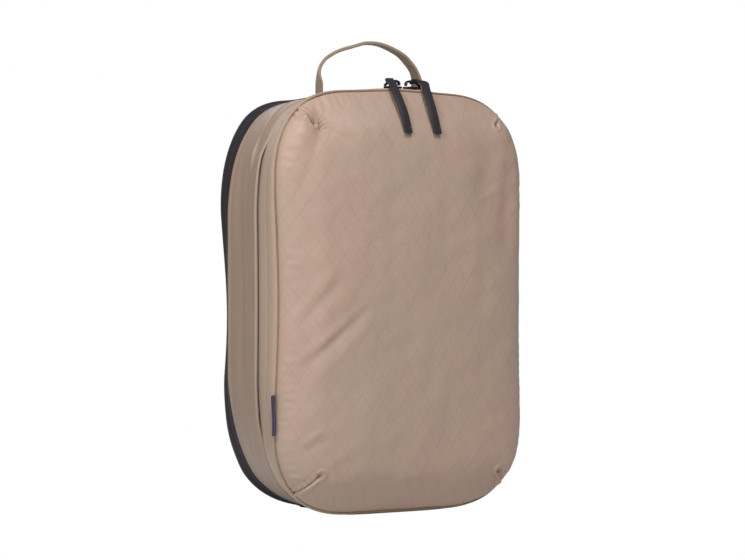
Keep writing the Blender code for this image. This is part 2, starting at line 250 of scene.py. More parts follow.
# %% Wires and finishes
class Wire:
    """A socket that can be added, multiplied and compared like a number."""

    def __init__(self, finish, socket):
        self.finish = finish
        self.socket = socket

    def maths(self, operation, *values):
        sockets = dict(enumerate(values))
        return self.finish.node("ShaderNodeMath", {"operation": operation}, sockets)

    def __add__(self, other):
        return self.maths("ADD", self, other)

    __radd__ = __add__

    def __sub__(self, other):
        return self.maths("SUBTRACT", self, other)

    def __rsub__(self, other):
        return self.maths("SUBTRACT", other, self)

    def __mul__(self, other):
        return self.maths("MULTIPLY", self, other)

    __rmul__ = __mul__

    def __truediv__(self, other):
        return self.maths("DIVIDE", self, other)

    def sine(self):
        return self.maths("SINE", self)

    def clip(self):
        return self.finish.node("ShaderNodeClamp", {}, {"Value": self})

    def wave(self, pitch):
        """From 0 to 1 and back over each pitch, as a sine."""
        return (self * (2 * math.pi / pitch)).sine() * 0.5 + 0.5

    def line(self, pitch, width):
        """1 on thin lines that repeat each pitch, falling softly to 0 at half a width."""
        off = self.maths("PINGPONG", self, pitch / 2) / (width / 2)
        return (1 - off).clip()


class Finish:
    """A Principled material under construction. cloth() reads the piece's own cloth lengths."""

    def __init__(self, name, roughness=0.8, **settings):
        self.material = bpy.data.materials.new(name)
        self.material.use_nodes = True
        self.tree = self.material.node_tree
        self.shader = self.tree.nodes["Principled BSDF"]
        self.shader.inputs["Roughness"].default_value = roughness
        for socket, value in settings.items():
            self.shader.inputs[socket.replace("_", " ")].default_value = value

    def node(self, kind, settings, sockets, output=0):
        """Add a node: its settings first, then a value or a wire for each named socket."""
        node = self.tree.nodes.new(kind)
        for name, value in settings.items():
            setattr(node, name, value)
        for name, value in sockets.items():
            if isinstance(value, Wire):
                self.tree.links.new(value.socket, node.inputs[name])
            else:
                node.inputs[name].default_value = value
        return Wire(self, node.outputs[output])

    def cloth(self):
        """The two cloth lengths of the piece's UV map, in metres, as two wires."""
        cloth_map = self.node("ShaderNodeUVMap", {"uv_map": "cloth"}, {})
        split = self.node("ShaderNodeSeparateXYZ", {}, {"Vector": cloth_map})
        return split, Wire(self, split.socket.node.outputs[1])

    def place(self):
        return self.node("ShaderNodeTexCoord", {}, {}, output=3)

    def noise(self, scale, detail=2.0, roughness=0.5):
        """Smooth noise in object coordinates, from 0 to 1."""
        sockets = {"Vector": self.place(), "Scale": scale, "Detail": detail, "Roughness": roughness}
        return self.node("ShaderNodeTexNoise", {}, sockets)

    def mix(self, share, first, second):
        """The first colour where share is 0 and the second where it is 1."""
        colours = [(*c, 1.0) if isinstance(c, tuple) else c for c in (first, second)]
        sockets = {0: share, 6: colours[0], 7: colours[1]}
        return self.node("ShaderNodeMix", {"data_type": "RGBA"}, sockets, output=2)

    def bump(self, height, distance, strength=1.0, below=None):
        sockets = {"Height": height, "Distance": distance, "Strength": strength}
        if below is not None:
            sockets["Normal"] = below
        return self.node("ShaderNodeBump", {}, sockets)

    def set(self, **links):
        """Join wires to the shader's sockets and hand back the material."""
        for socket, wire in links.items():
            self.tree.links.new(wire.socket, self.shader.inputs[socket.replace("_", " ")])
        return self.material


def shade(colour, factor):
    """A colour made lighter or darker by a factor."""
    return tuple(channel * factor for channel in colour)


# %% [markdown]
# ## Cloth finishes
# The lids are a light nylon woven plain, with thicker threads that cross it in long diamonds. The
# threads stand up a little and look slightly darker from their own shadow. The plain weave under
# them is finer than half a millimetre. Sheen gives the soft edge light of filament yarn.

# %% Ripstop, smooth nylon, tape and webbing
TAN = (0.298, 0.215, 0.168)
GUSSET_TAN = (0.232, 0.166, 0.125)
TAPE_TAN = (0.282, 0.206, 0.152)
CHARCOAL = (0.0145, 0.012, 0.0165)
OLIVE = (0.198, 0.142, 0.090)
DIAMOND_WIDTH = 16 * MM
DIAMOND_HEIGHT = 23 * MM


def ripstop(name, colour, sheen, gloss):
    """Plain weave with raised diamond threads: lines where u/w + v/h or u/w - v/h is whole."""
    cloth = Finish(name, 0.62, Sheen_Weight=sheen, Sheen_Roughness=0.4, Specular_IOR_Level=gloss)
    u, v = cloth.cloth()
    drift = (cloth.noise(18, 2) - 0.5) * 0.35
    rising = (u / DIAMOND_WIDTH - v / DIAMOND_HEIGHT + drift).line(1.0, 0.1)
    falling = (u / DIAMOND_WIDTH + v / DIAMOND_HEIGHT + drift).line(1.0, 0.1)
    shown = cloth.noise(33, 3) * 1.5 - 0.2
    threads = (rising + falling).clip() * shown.clip()
    weave = u.wave(0.55 * MM) * v.wave(0.55 * MM)
    grain = cloth.noise(1100, 2, 0.7)
    # Large patches of khaki and pinkish tone are painted reflection: the satin's uneven sheen, painted
    # into the colour.
    painted_reflection_share = (cloth.noise(9, 3, 0.6) * 3.2 - 1.1).clip()
    khaki = tuple(c * f for c, f in zip(colour, (0.97, 1.0, 0.98)))
    pinkish = tuple(c * f for c, f in zip(colour, (1.05, 0.98, 0.98)))
    base = cloth.mix(painted_reflection_share, khaki, pinkish)
    base = cloth.mix(grain * 0.3, base, shade(colour, 0.62))
    # The raised diamond threads are painted darker: painted shadow of the threads, not wear.
    thread_shadow_colour = cloth.mix(threads * 0.36, base, shade(colour, 0.55))
    fine = cloth.bump(weave * 0.5 + grain * 0.5, 0.06 * MM, 0.4)
    creases = cloth.bump(cloth.noise(52, 6, 0.62), 2.0 * MM, 0.5, fine)
    normal = cloth.bump(threads, 0.16 * MM, 0.6, creases)
    rough = cloth.noise(40) * 0.14 + 0.5
    return cloth.set(Base_Color=thread_shadow_colour, Roughness=rough, Normal=normal)


def smooth_nylon(name, colour):
    """Tightly woven satin nylon: a fine twill and slow changes of tone along its folds."""
    cloth = Finish(name, 0.5, Sheen_Weight=0.1, Sheen_Roughness=0.4, Specular_IOR_Level=0.35)
    u, v = cloth.cloth()
    twill = (u + v).wave(0.7 * MM)
    mottle = cloth.noise(14, 3)
    base = cloth.mix(mottle, shade(colour, 0.92), shade(colour, 1.07))
    fine = cloth.bump(twill, 0.04 * MM, 0.3)
    normal = cloth.bump(cloth.noise(60, 3), 0.8 * MM, 0.3, fine)
    rough = cloth.noise(30) * 0.14 + 0.42
    return cloth.set(Base_Color=base, Roughness=rough, Normal=normal)


def zip_tape(name, colour, sheen):
    """Knitted tape: close cords along its length with fine stitches across them."""
    cloth = Finish(name, 0.7, Sheen_Weight=sheen, Sheen_Roughness=0.5, Specular_IOR_Level=0.25)
    u, v = cloth.cloth()
    cords = v.wave(1.1 * MM)
    stitches = (u + v.wave(2.2 * MM) * (0.5 * MM)).wave(0.8 * MM)
    mottle = cloth.noise(90, 2)
    base = cloth.mix(mottle * 0.5 + cords * 0.5, shade(colour, 0.86), shade(colour, 1.06))
    normal = cloth.bump(cords * 0.7 + stitches * 0.3, 0.14 * MM, 0.6)
    return cloth.set(Base_Color=base, Normal=normal)


def grosgrain(name, colour):
    """Webbing with heavy ribs straight across it and a dusty, slightly uneven yarn."""
    cloth = Finish(name, 0.85, Sheen_Weight=0.3, Sheen_Roughness=0.5)
    u, v = cloth.cloth()
    ribs = u.wave(1.5 * MM)
    yarn = v.wave(0.6 * MM)
    dust = cloth.noise(420, 3, 0.7)
    base = cloth.mix(ribs * 0.45 + dust * 0.55, shade(colour, 0.66), shade(colour, 1.3))
    normal = cloth.bump(ribs * 0.8 + yarn * 0.2, 0.3 * MM, 0.7)
    return cloth.set(Base_Color=base, Normal=normal)


def nylon_coil(name, colour):
    """Glossy nylon monofilament."""
    coil = Finish(name, 0.32, Specular_IOR_Level=0.5)
    tone = coil.mix(coil.noise(300, 2), shade(colour, 0.85), shade(colour, 1.15))
    return coil.set(Base_Color=tone)


def coated_metal(name, colour):
    """Black-coated zinc: satin, with the coat rubbed thin and brighter in places."""
    metal = Finish(name, 0.38, Metallic=0.75, Specular_IOR_Level=0.5, Coat_Weight=0.2)
    wear = metal.noise(500, 4, 0.65)
    tone = metal.mix(wear, shade(colour, 0.8), shade(colour, 1.6))
    normal = metal.bump(metal.noise(1800, 2), 0.02 * MM, 0.4)
    return metal.set(Base_Color=tone, Roughness=wear * 0.25 + 0.26, Normal=normal)


def moulded_strap(name, colour):
    """Soft moulded strap: a dull skin with a fine, even grain."""
    skin = Finish(name, 0.6, Specular_IOR_Level=0.3, Sheen_Weight=0.04)
    grain = skin.noise(2600, 2, 0.6)
    tone = skin.mix(skin.noise(120, 2), shade(colour, 0.88), shade(colour, 1.15))
    normal = skin.bump(grain, 0.03 * MM, 0.5)
    return skin.set(Base_Color=tone, Roughness=grain * 0.16 + 0.5, Normal=normal)


def woven_label(name, colour):
    """A plain woven label: fine ribs and a paler thread here and there."""
    cloth = Finish(name, 0.6, Sheen_Weight=0.05, Sheen_Roughness=0.4)
    u, v = cloth.cloth()
    ribs = v.wave(0.5 * MM)
    tone = cloth.mix(ribs * 0.5 + cloth.noise(700, 2) * 0.5, shade(colour, 0.75), shade(colour, 1.35))
    return cloth.set(Base_Color=tone, Normal=cloth.bump(ribs + u.wave(0.6 * MM), 0.06 * MM, 0.6))


LID_CLOTH = {
    "front": ripstop("ripstop_tan", TAN, 0.12, 0.4),
    "back": ripstop("ripstop_charcoal", CHARCOAL, 0.02, 0.2),
}
TAPE_CLOTH = {
    "front": zip_tape("tape_tan", TAPE_TAN, 0.2),
    "back": zip_tape("tape_charcoal", CHARCOAL, 0.02),
}
COIL_NYLON = {
    "front": nylon_coil("coil_tan", (0.20, 0.145, 0.105)),
    "back": nylon_coil("coil_charcoal", (0.02, 0.02, 0.023)),
}
GUSSET_CLOTH = smooth_nylon("gusset_tan", GUSSET_TAN)
# Seam threads: the stitches in each seam's valley, coloured darker as painted shadow of that valley.
SEAM_THREAD_AND_SHADOW = {
    "front": nylon_coil("thread_and_shadow_brown", (0.16, 0.10, 0.06)),
    "back": nylon_coil("thread_and_shadow_black", (0.01, 0.01, 0.012)),
}
LINING_CLOTH = smooth_nylon("lining_charcoal", (0.045, 0.043, 0.05))
WEBBING_CLOTH = grosgrain("webbing_olive", OLIVE)
SLIDER_METAL = coated_metal("slider_gunmetal", (0.024, 0.024, 0.028))
PULL_SKIN = moulded_strap("pull_grey", (0.0125, 0.0105, 0.0145))
LABEL_CLOTH = woven_label("label_blue", (0.013, 0.012, 0.068))
SLOT_NAME = {"front": "tan", "back": "charcoal"}
print("finishes:", len(bpy.data.materials))

# %% [markdown]
# ## The lid panels
# A lid is one piece of cloth with a dart at each corner, pushed out by what is packed behind it:
# a steep wall at the seam, then an almost flat crown. Height is a function of the distance to the
# seam. The grid is a rectangle whose corners are drawn in to the outline, with its lines crowded
# towards the edge, where the wall needs them. Soft dents, the darts and their puckers are moves
# along the surface's own direction. The cloth's lengths run down the wall, so the diamonds do too.


# %% Shape of a lid
def soft_noise(x, z, scale, seed, waves=14):
    """Smooth noise between about -1 and 1: a sum of waves of random direction and phase."""
    dice = np.random.default_rng(seed)
    angle, phase = dice.uniform(0, 2 * math.pi, (2, waves))
    pitch = scale * dice.uniform(0.7, 1.6, waves)
    total = np.zeros_like(x)
    for turn, start, step in zip(angle, phase, pitch):
        total += np.sin((x * math.cos(turn) + z * math.sin(turn)) * 2 * math.pi / step + start)
    return total / math.sqrt(waves)


def wall_profile(distance, steep):
    """Height over the seam at a distance s in from it, as a share of the lid's full height.

    A steep wall is the square root of 1 - (1 - s/30 mm)^4.5, and a slope 1 - (1 - s/46 mm)^2.3.
    """
    wall = np.sqrt(1 - np.clip(1 - distance / (30 * MM), 0, 1) ** 4.5)
    slope = 1 - np.clip(1 - distance / (46 * MM), 0, 1) ** 2.3
    return slope + (wall - slope) * steep


def surface_normal(points):
    """Unit normals of a grid of points."""
    normal = np.cross(np.gradient(points, axis=0), np.gradient(points, axis=1))
    return normal / np.linalg.norm(normal, axis=-1, keepdims=True)


def crowded(count, busy):
    """Positions from -1 to 1, closer together at both ends and around -busy and busy."""
    even = np.linspace(-1, 1, 4001)
    density = 1 + 2.4 * np.exp(-(((np.abs(even) - busy) / 0.06) ** 2))
    density += 2.2 * np.exp(-(((1 - np.abs(even)) / 0.06) ** 2))
    share = np.concatenate(([0], np.cumsum((density[1:] + density[:-1]) / 2)))
    return np.interp(np.linspace(0, share[-1], count), share, even)


def near_curve(x, z, bend):
    """Share along a bent line of three points, and the signed distance to it, for nearby points."""
    first, middle, last = (np.array(point) * MM for point in bend)
    share = np.linspace(0, 1, 81)[:, None]
    line = (1 - share) ** 2 * first + 2 * share * (1 - share) * middle + share**2 * last
    heading = np.gradient(line, axis=0)
    heading /= np.linalg.norm(heading, axis=1, keepdims=True)
    gap = np.stack((x, z), axis=-1)[..., None, :] - line
    nearest = (gap**2).sum(axis=-1).argmin(axis=-1)
    chosen = np.take_along_axis(gap, nearest[..., None, None], axis=-2)[..., 0, :]
    ahead = heading[nearest]
    past = (chosen * ahead).sum(axis=-1)
    length = np.linalg.norm(np.diff(line, axis=0), axis=1).sum()
    off = chosen[..., 1] * ahead[..., 0] - chosen[..., 0] * ahead[..., 1]
    return nearest / 80 + past / length, off, length


def dart_move(x, z, bend, strength):
    """Move along the normal near one dart: a sewn groove, a curl at its tip and pleats below it."""
    move = np.zeros_like(x)
    middle = np.array(bend[1]) * MM
    close = np.hypot(x - middle[0], z - middle[1]) < 42 * MM
    along, off, length = near_curve(x[close], z[close], bend)
    off = off / MM * np.sign(strength)
    tip = (along - 1.0) * length / MM
    sewn = ease((1.0 - along) * 9 + 0.5) * ease((along + 0.25) * 8)
    groove = -1.7 * np.exp(-((off / 0.75) ** 2)) * sewn
    upper = 0.9 * np.exp(-(((off - 2.0) / 1.6) ** 2)) * sewn
    dimple = -2.2 * np.exp(-((np.hypot(tip, off) / 2.3) ** 2))
    ring = np.hypot(tip - 1.0, off * 1.1)
    curl = 1.1 * np.exp(-(((ring - 4.2) / 1.3) ** 2)) * ease((tip + 2.5) / 5)
    pleat = np.cos(along * length / MM * 2 * math.pi / 4.3 + 0.5 * np.sin(off))
    below = ease(-off / 2.5) * ease((off + 15) / 12) * ease(1.15 - along) * ease(along * 3 + 0.4)
    puckers = 0.55 * pleat * below
    hollow = -0.9 * np.exp(-(((off + 5) / 5.0) ** 2)) * ease(1.2 - along) * ease(along + 0.6)
    move[close] = (groove + upper + dimple + curl + puckers + hollow) * MM * abs(strength)
    return move


def fold_move(x, z, bend, height, width):
    """A soft ridge (or a valley, for a height below 0) along a bent line, fading at both ends."""
    along, off, _ = near_curve(x, z, bend)
    fade = np.sin(np.clip(along, 0, 1) * math.pi) ** 0.8
    return height * MM * fade * np.exp(-((off / (width * MM)) ** 2))


def crease_move(x, z, bend, depth, wide_side, near_side):
    """A sharp valley: -d e^(-|off|/w), with a wide bank on one side and a short one on the other."""
    along, off, _ = near_curve(x, z, bend)
    bank = np.where(off > 0, near_side, wide_side) * MM
    fade = ease(along * 4 + 0.6) * (1 - ease(along * 0.9))
    round_bottom = np.sqrt(off**2 + (1.5 * MM) ** 2)
    return -depth * MM * fade * np.exp(-round_bottom / bank)


# The front lid's main folds in millimetres: three points of a line, its height and its half width.
FRONT_FOLDS = (
    (((-121, 126), (-92, 146), (-50, 182)), 1.0, 4.5),
    (((-112, 122), (-84, 148), (-46, 176)), -1.5, 4.0),
    (((-104, 112), (-74, 140), (-46, 164)), 0.9, 4.5),
    (((-122, 160), (-100, 180), (-76, 214)), 0.9, 5.0),
    (((-112, 158), (-94, 180), (-66, 206)), -1.1, 6.5),
    (((-110, 62), (-100, 70), (-88, 76)), 0.9, 2.4),
    (((-112, 54), (-100, 62), (-82, 68)), -0.7, 3.0),
    (((-84, 46), (-80, 36), (-72, 22)), 0.8, 2.2),
    (((-90, 44), (-72, 50), (-56, 66)), 0.6, 4.0),
    (((66, 262), (82, 270), (96, 276)), 0.8, 3.0),
    (((70, 336), (80, 292), (86, 240)), -2.6, 17.0),
    (((100, 206), (104, 262), (106, 318)), -1.6, 9.0),
)
# The crease that leaves the upper left dart: its line, its depth, and its wide and short banks.
DART_CREASE = (((-93, 330), (-60, 318), (-32, 284)), 7.5, 32, 9)
# Four darts: the sewn line from the seam to its tip, and a strength whose sign says where it pleats.
DARTS = (
    ((-110, 339.6), (-99.5, 338.8), (-94.6, 329.8), 1.0),
    ((-112.3, 19.4), (-101.5, 25.5), (-92.0, 36.0), -1.0),
    ((110, 339.6), (101, 337.5), (96, 330.5), -0.8),
    ((112.3, 19.4), (103.5, 24.0), (97, 32.0), 0.8),
)


DOME_RISE = 8.5 * MM
LID_THICKNESS = 0.9 * MM
BACK_DART_SHIFT = 9.5


def lid_surface(side, columns=200, rows=236):
    """Plan of one lid: places, outward directions and distances in from the seam, as grids."""
    rim, rim_out, _ = closed_ring
    rim = rim - rim_out * (SEAM_INSET + draw_in(rim, rim_out, np.array([side * SEAM_DEPTH])))
    centre = np.array((0, MIDDLE))
    rim_turn = np.arctan2(*(rim - centre).T[::-1])
    order = np.argsort(rim_turn)
    rim_reach = np.linalg.norm(rim - centre, axis=1)
    a, b = np.meshgrid(crowded(columns, 0.82), crowded(rows, 0.88), indexing="ij")
    half_w, half_h = HALF_WIDTH - SEAM_INSET, MIDDLE - SEAM_INSET
    x, z = a * half_w, b * half_h
    turn = np.arctan2(z, x)
    edge = np.interp(turn, rim_turn[order], rim_reach[order], period=2 * math.pi)
    outer = np.maximum(np.abs(a), np.abs(b))
    square = np.hypot(x, z) / np.maximum(outer, 1e-9)
    pull = 1 + (edge / square - 1) * outer**3
    x, z = x * pull, z * pull
    plan = np.stack((x, z + MIDDLE), axis=-1)
    flat_plan = plan.reshape(-1, 2)
    nearest = np.empty(len(flat_plan), dtype=int)
    for first in range(0, len(flat_plan), 4096):
        chunk = flat_plan[first : first + 4096]
        gaps = ((chunk[:, None, :] - rim[None]) ** 2).sum(axis=-1)
        nearest[first : first + 4096] = gaps.argmin(axis=1)
    outward = rim_out[nearest].reshape(*x.shape, 2)
    distance = ((rim[nearest].reshape(*x.shape, 2) - plan) * outward).sum(axis=-1).clip(0)
    return plan, outward, distance


def lid_points(side, seed):
    """Height of the lid over its plan, with slow dents, then moves along the surface's direction."""
    plan, outward, distance = lid_surface(side)
    x, z = plan[..., 0], plan[..., 1]
    full = CROWN_DEPTH - SEAM_DEPTH - 2 * MM
    inner = np.clip(distance / (70 * MM), 0, 1)
    upright = np.clip((np.abs(outward[..., 0]) - 0.25) / 0.65, 0, 1)
    steep = ease(upright) * np.where(outward[..., 0] < 0, 0.5, 0.8) * (side == FRONT)
    slack = 1 + 0.04 * soft_noise(x, z, 150 * MM, seed) * inner
    dome = (1 - 0.45 * x / HALF_WIDTH) * np.clip(1 - (x / HALF_WIDTH) ** 2, 0, 1)
    dome *= np.clip(1 - ((z - MIDDLE) / MIDDLE) ** 4, 0, 1)
    height = full * wall_profile(distance, steep) * slack
    height += DOME_RISE * dome * ease(distance / (34 * MM))
    base = np.stack((x, side * (SEAM_DEPTH + height), z), axis=-1)
    normal = surface_normal(base)
    normal *= np.sign(normal[..., 1:2].mean() * side)
    off_seam = np.clip(distance / (12 * MM), 0, 1)
    move = 0.5 * MM * soft_noise(x, z, 70 * MM, seed + 1) * off_seam
    move += 0.2 * MM * soft_noise(x, z, 26 * MM, seed + 2) * np.clip(distance / (5 * MM), 0, 1)
    along_seam = np.where(np.abs(outward[..., 0]) > 0.5, z, x)
    pucker = np.sin(along_seam * 2 * math.pi / (8.3 * MM) + 2 * soft_noise(x, z, 60 * MM, seed + 3))
    patches = np.clip(0.4 + soft_noise(x, z, 90 * MM, seed + 4), 0, 1)
    move += 0.22 * MM * pucker * patches * np.exp(-(((distance - 7 * MM) / (5 * MM)) ** 2))
    inward = 0 if side == FRONT else BACK_DART_SHIFT
    for *bend, strength in DARTS:
        bend = [
            (px - math.copysign(inward, px), pz - math.copysign(inward, pz - MIDDLE / MM))
            for px, pz in bend
        ]
        move += dart_move(x, z, bend, strength if side == FRONT else 0.45 * strength)
    if side == FRONT:
        move += crease_move(x, z, *DART_CREASE)
        for bend, rise, width in FRONT_FOLDS:
            move += fold_move(x, z, bend, rise, width) * ease(distance / (10 * MM))
    points = base + normal * move[..., None]
    deep = np.linspace(0, 60 * MM, 600)
    longer = np.zeros_like(x)
    for kind, share in ((1.0, steep), (0.0, 1 - steep)):
        climb = np.gradient(full * wall_profile(deep, kind), deep)
        extra = np.cumsum((np.sqrt(1 + climb**2) - 1)[::-1])[::-1] * (deep[1] - deep[0])
        longer += share * np.interp(distance, deep, extra)
    cloth = plan + outward * longer[..., None]
    return points, cloth


def lid_panel(name, seed):
    """The lid as one sheet, given its thickness inwards."""
    side = SIDES[name]
    points, cloth = lid_points(side, seed)
    if side == BACK:
        points, cloth = points[::-1], cloth[::-1]
    piece = grid_mesh(f"{name}_panel_cloth", points, cloth, recalc=False)
    wall = piece.modifiers.new("cloth thickness", "SOLIDIFY")
    wall.thickness = LID_THICKNESS
    wall.offset = -1
    slot = f"ripstop_{SLOT_NAME[name]}"
    return dress(piece, LID_CLOTH[name], f"{name}_lid", slot, f"{name}_panel")


# %% Make both lids
for lid_name, lid_seed in (("front", 11), ("back", 29)):
    lid_panel(lid_name, lid_seed)

# %% [markdown]
# ## The zip bands
# Each zip is sewn in between a lid and the gusset with its coil hidden inside, so that only two
# plain tapes and a thin closing line show. The tapes are rings that follow the outline. The lid's
# tape curls in under the lid at its seam. That leaves the narrow dark valley seen all round it.


# %% Tapes, coils and hinge strips
def shell(inset, depth, thickness, ring, lift=0.0):
    """A ring with a wall: the outer run of points, then the inner run back."""
    outer = hoop(inset, depth, ring, lift)
    inner = hoop(np.asarray(inset) + thickness, depth, ring, lift)
    return np.concatenate((outer, inner[:, ::-1]), axis=1)


def ring_cloth(points, along):
    """Cloth lengths of a ring: the way round it, and the way across summed over the first row."""
    first = points[0]
    across = np.concatenate(([0], np.cumsum(np.linalg.norm(np.diff(first, axis=0), axis=1))))
    across = np.append(across, across[-1] + np.linalg.norm(first[0] - first[-1]))
    u, v = np.meshgrid(along, across, indexing="ij")
    return np.stack((u, v), axis=-1)


def tape_piece(name, inset, depth):
    """A tape that goes round the outline and stops at both ends of the flat bottom."""
    points = shell(inset, depth, TAPE, open_ring)
    return grid_mesh(name, points, ring_cloth(points, open_ring[2]), round_v=True, caps=True)


TAPE = 0.8 * MM
CLOSING_GAP = 0.14 * MM
TAPE_INSET = 1.3 * MM
curl_share = np.linspace(0, 1, 22)


def tape_profile(side):
    """Inset and depth of the lid's tape: level at the chain, then a quarter turn in at the seam."""
    start = ZIP_CENTRE + CLOSING_GAP
    run = SEAM_DEPTH + 0.4 * MM - start
    drop = 2.1 * MM * np.clip((curl_share - 0.6) / 0.4, 0, 1) ** 2.4
    swell = -0.5 * MM * np.sin(np.clip(curl_share / 0.9, 0, 1) * math.pi)
    edge = 0.2 * MM * np.exp(-((curl_share / 0.06) ** 2))
    return TAPE_INSET + drop + swell + edge, side * (start + run * curl_share)


def fixed_profile(side):
    """Inset and depth of the gusset's tape: it slips under the gusset's folded edge."""
    start = ZIP_CENTRE - CLOSING_GAP
    share = np.linspace(0, 1, 16)
    under = GUSSET_HALF - 3 * MM
    edge = 0.2 * MM * np.exp(-((share / 0.06) ** 2))
    swell = 0.9 * MM * share**2
    return TAPE_INSET + edge + swell, side * (start + (under - start) * share)


for zip_name, zip_side in SIDES.items():
    tape_slot = f"tape_{SLOT_NAME[zip_name]}"
    lid_tape = tape_piece(f"{zip_name}_lid_tape", *tape_profile(zip_side))
    dress(lid_tape, TAPE_CLOTH[zip_name], f"{zip_name}_lid", tape_slot, f"{zip_name}_zip_tape_lid")
    gusset_tape = tape_piece(f"{zip_name}_gusset_tape", *fixed_profile(zip_side))
    dress(gusset_tape, TAPE_CLOTH[zip_name], "cube_body", tape_slot, f"{zip_name}_zip_tape_gusset")


# %% [markdown]
# Where a lid meets its tape, the two edges turn inwards over a row of stitches. A dark thread in the
# bottom of that valley stands for them and also for the valley's shade, so it is partly painted shadow.
# Each stitch lifts it a little, so its edge isn't straight.


# %% Seam threads, partly painted shadow
STITCH = 2.6 * MM


def tube(name, path, radius, sides=5, closed=False):
    """A round tube along a path: each point gets a ring of points across the path's direction."""
    around = np.pad(path, ((1, 1), (0, 0)), mode="wrap") if closed else path
    tangent = np.gradient(around, axis=0)[1:-1] if closed else np.gradient(path, axis=0)
    tangent /= np.linalg.norm(tangent, axis=1, keepdims=True)
    guide = np.where(np.abs(tangent[:, 1:2]) > 0.9, [[1.0, 0, 0]], [[0, 1.0, 0]])
    first = np.cross(tangent, guide)
    first /= np.linalg.norm(first, axis=1, keepdims=True)
    second = np.cross(tangent, first)
    angle = np.linspace(0, 2 * math.pi, sides, endpoint=False)
    radius = np.broadcast_to(radius, len(path))[:, None, None]
    rings = path[:, None] + radius * (
        first[:, None] * np.cos(angle)[:, None] + second[:, None] * np.sin(angle)[:, None]
    )
    return grid_mesh(name, rings, round_u=closed, round_v=True, caps=not closed)


def seam_thread_and_shadow(side_name, count=2400):
    """The stitched bottom of a lid's seam, with a small rise for each stitch; its dark colour is partly
    painted shadow of the valley.
    """
    side = SIDES[side_name]
    place, outward, along = even_outline(count + 1)
    place, outward, along = place[:-1], outward[:-1], along[:-1]
    depth = side * (SEAM_DEPTH + 0.35 * MM)
    bead = np.abs(np.sin(along * math.pi / STITCH))
    inset = SEAM_INSET + 0.25 * MM - 0.2 * MM * bead
    pulled = inset + draw_in(place, outward, np.array([depth]))[:, 0]
    drawn = place - outward * pulled[:, None]
    path = np.column_stack((drawn[:, 0], np.full(count, depth), drawn[:, 1]))
    thread = tube(f"{side_name}_seam_thread_and_shadow", path, (0.62 + 0.14 * bead) * MM, 6, closed=True)
    dress(thread, SEAM_THREAD_AND_SHADOW[side_name], f"{side_name}_lid", f"tape_{SLOT_NAME[side_name]}")


for side_name in SIDES:
    seam_thread_and_shadow(side_name)

# %% [markdown]
# The coil is one nylon filament wound into a flattened spring along each tape's edge. It is a
# thin tube along a helix that follows the outline, with eight points to a turn.


# %% Coils
def coil_path(side, which, pitch=1.5 * MM, points_per_turn=8):
    """Centre line of a coil: an ellipse turned once each pitch while it moves round the outline."""
    steps = int(PERIMETER * (1 - 2 * OPEN_FROM) / pitch * points_per_turn)
    place, outward, along = even_outline(steps, OPEN_FROM + 0.002, 1 - OPEN_FROM - 0.002)
    turn = np.arange(steps) * 2 * math.pi / points_per_turn
    middle = ZIP_CENTRE + which * 1.25 * MM
    depth = side * (middle + 1.05 * MM * np.cos(turn))
    inset = TAPE_INSET + TAPE + 0.95 * MM + 0.5 * MM * np.sin(turn)
    pulled = inset + draw_in(place, outward, np.array([side * ZIP_CENTRE]))[:, 0]
    drawn = place - outward * pulled[:, None]
    return np.column_stack((drawn[:, 0], depth, drawn[:, 1]))


for zip_name, zip_side in SIDES.items():
    for which, owner, body in ((1, "lid", f"{zip_name}_lid"), (-1, "gusset", "cube_body")):
        coil = tube(f"{zip_name}_{owner}_coil", coil_path(zip_side, which), 0.3 * MM)
        coil_slot = f"coil_{SLOT_NAME[zip_name]}"
        dress(coil, COIL_NYLON[zip_name], body, coil_slot, f"{zip_name}_zip_coil_{owner}")

# %% [markdown]
# Under the flat bottom there is no zip. A strip of the same tape closes the band there, and its
# seam with the lid is the hinge. Small tabs of cloth are sewn over the ends of the coils.


# %% Hinge strips
def strip_piece(name, x_ends, inset, depth, thickness):
    """A strip across the bottom that follows the same draw as the rings beside it."""
    x = np.linspace(*x_ends, 60)
    place = np.column_stack((x, np.zeros(60)))
    outward = np.column_stack((np.zeros(60), -np.ones(60)))
    points = shell(inset, depth, thickness, (place, outward, x))
    return grid_mesh(name, points, ring_cloth(points, x), round_v=True, caps=True)


for zip_name, zip_side in SIDES.items():
    share = np.linspace(0, 1, 24)
    strip_depth = GUSSET_HALF - 3 * MM + share * (SEAM_DEPTH - GUSSET_HALF + 1.6 * MM)
    strip_drop = 0.35 * MM + 2.2 * MM * np.clip((share - 0.8) / 0.2, 0, 1) ** 2
    ends = (-FLAT_HALF - 2 * MM, FLAT_HALF + 2 * MM)
    strip = strip_piece(f"{zip_name}_bottom_strip", ends, strip_drop, zip_side * strip_depth, TAPE / 2)
    tape_slot = f"tape_{SLOT_NAME[zip_name]}"
    dress(strip, TAPE_CLOTH[zip_name], "cube_body", tape_slot, f"{zip_name}_hinge_strip")

# %% [markdown]
# ## The gusset
# The side wall is a smooth nylon, hemmed at both edges. It is a little too long for the filled
# shape, so it lies in long soft folds that run with the outline, and its front hem stands off the
# zip tape along the straight sides, which leaves a dark slit. The folds are ridges whose line
# drifts slowly across the gusset, each one rising and fading along its own stretch.


# %% Gusset with folds
GUSSET_THICKNESS = 1.1 * MM


def ridge(along, depth, start, end, line_from, line_to, height, width):
    """A long fold: from start to end of the way round, drifting from one depth to another."""
    share = (along - start) / (end - start)
    fade = np.clip(np.sin(np.clip(share, 0, 1) * math.pi), 0, 1) ** 0.7
    line = line_from + (line_to - line_from) * share
    off = (depth - line) / width
    return height * fade * np.exp(-(off**2)) * ((share > 0) & (share < 1))


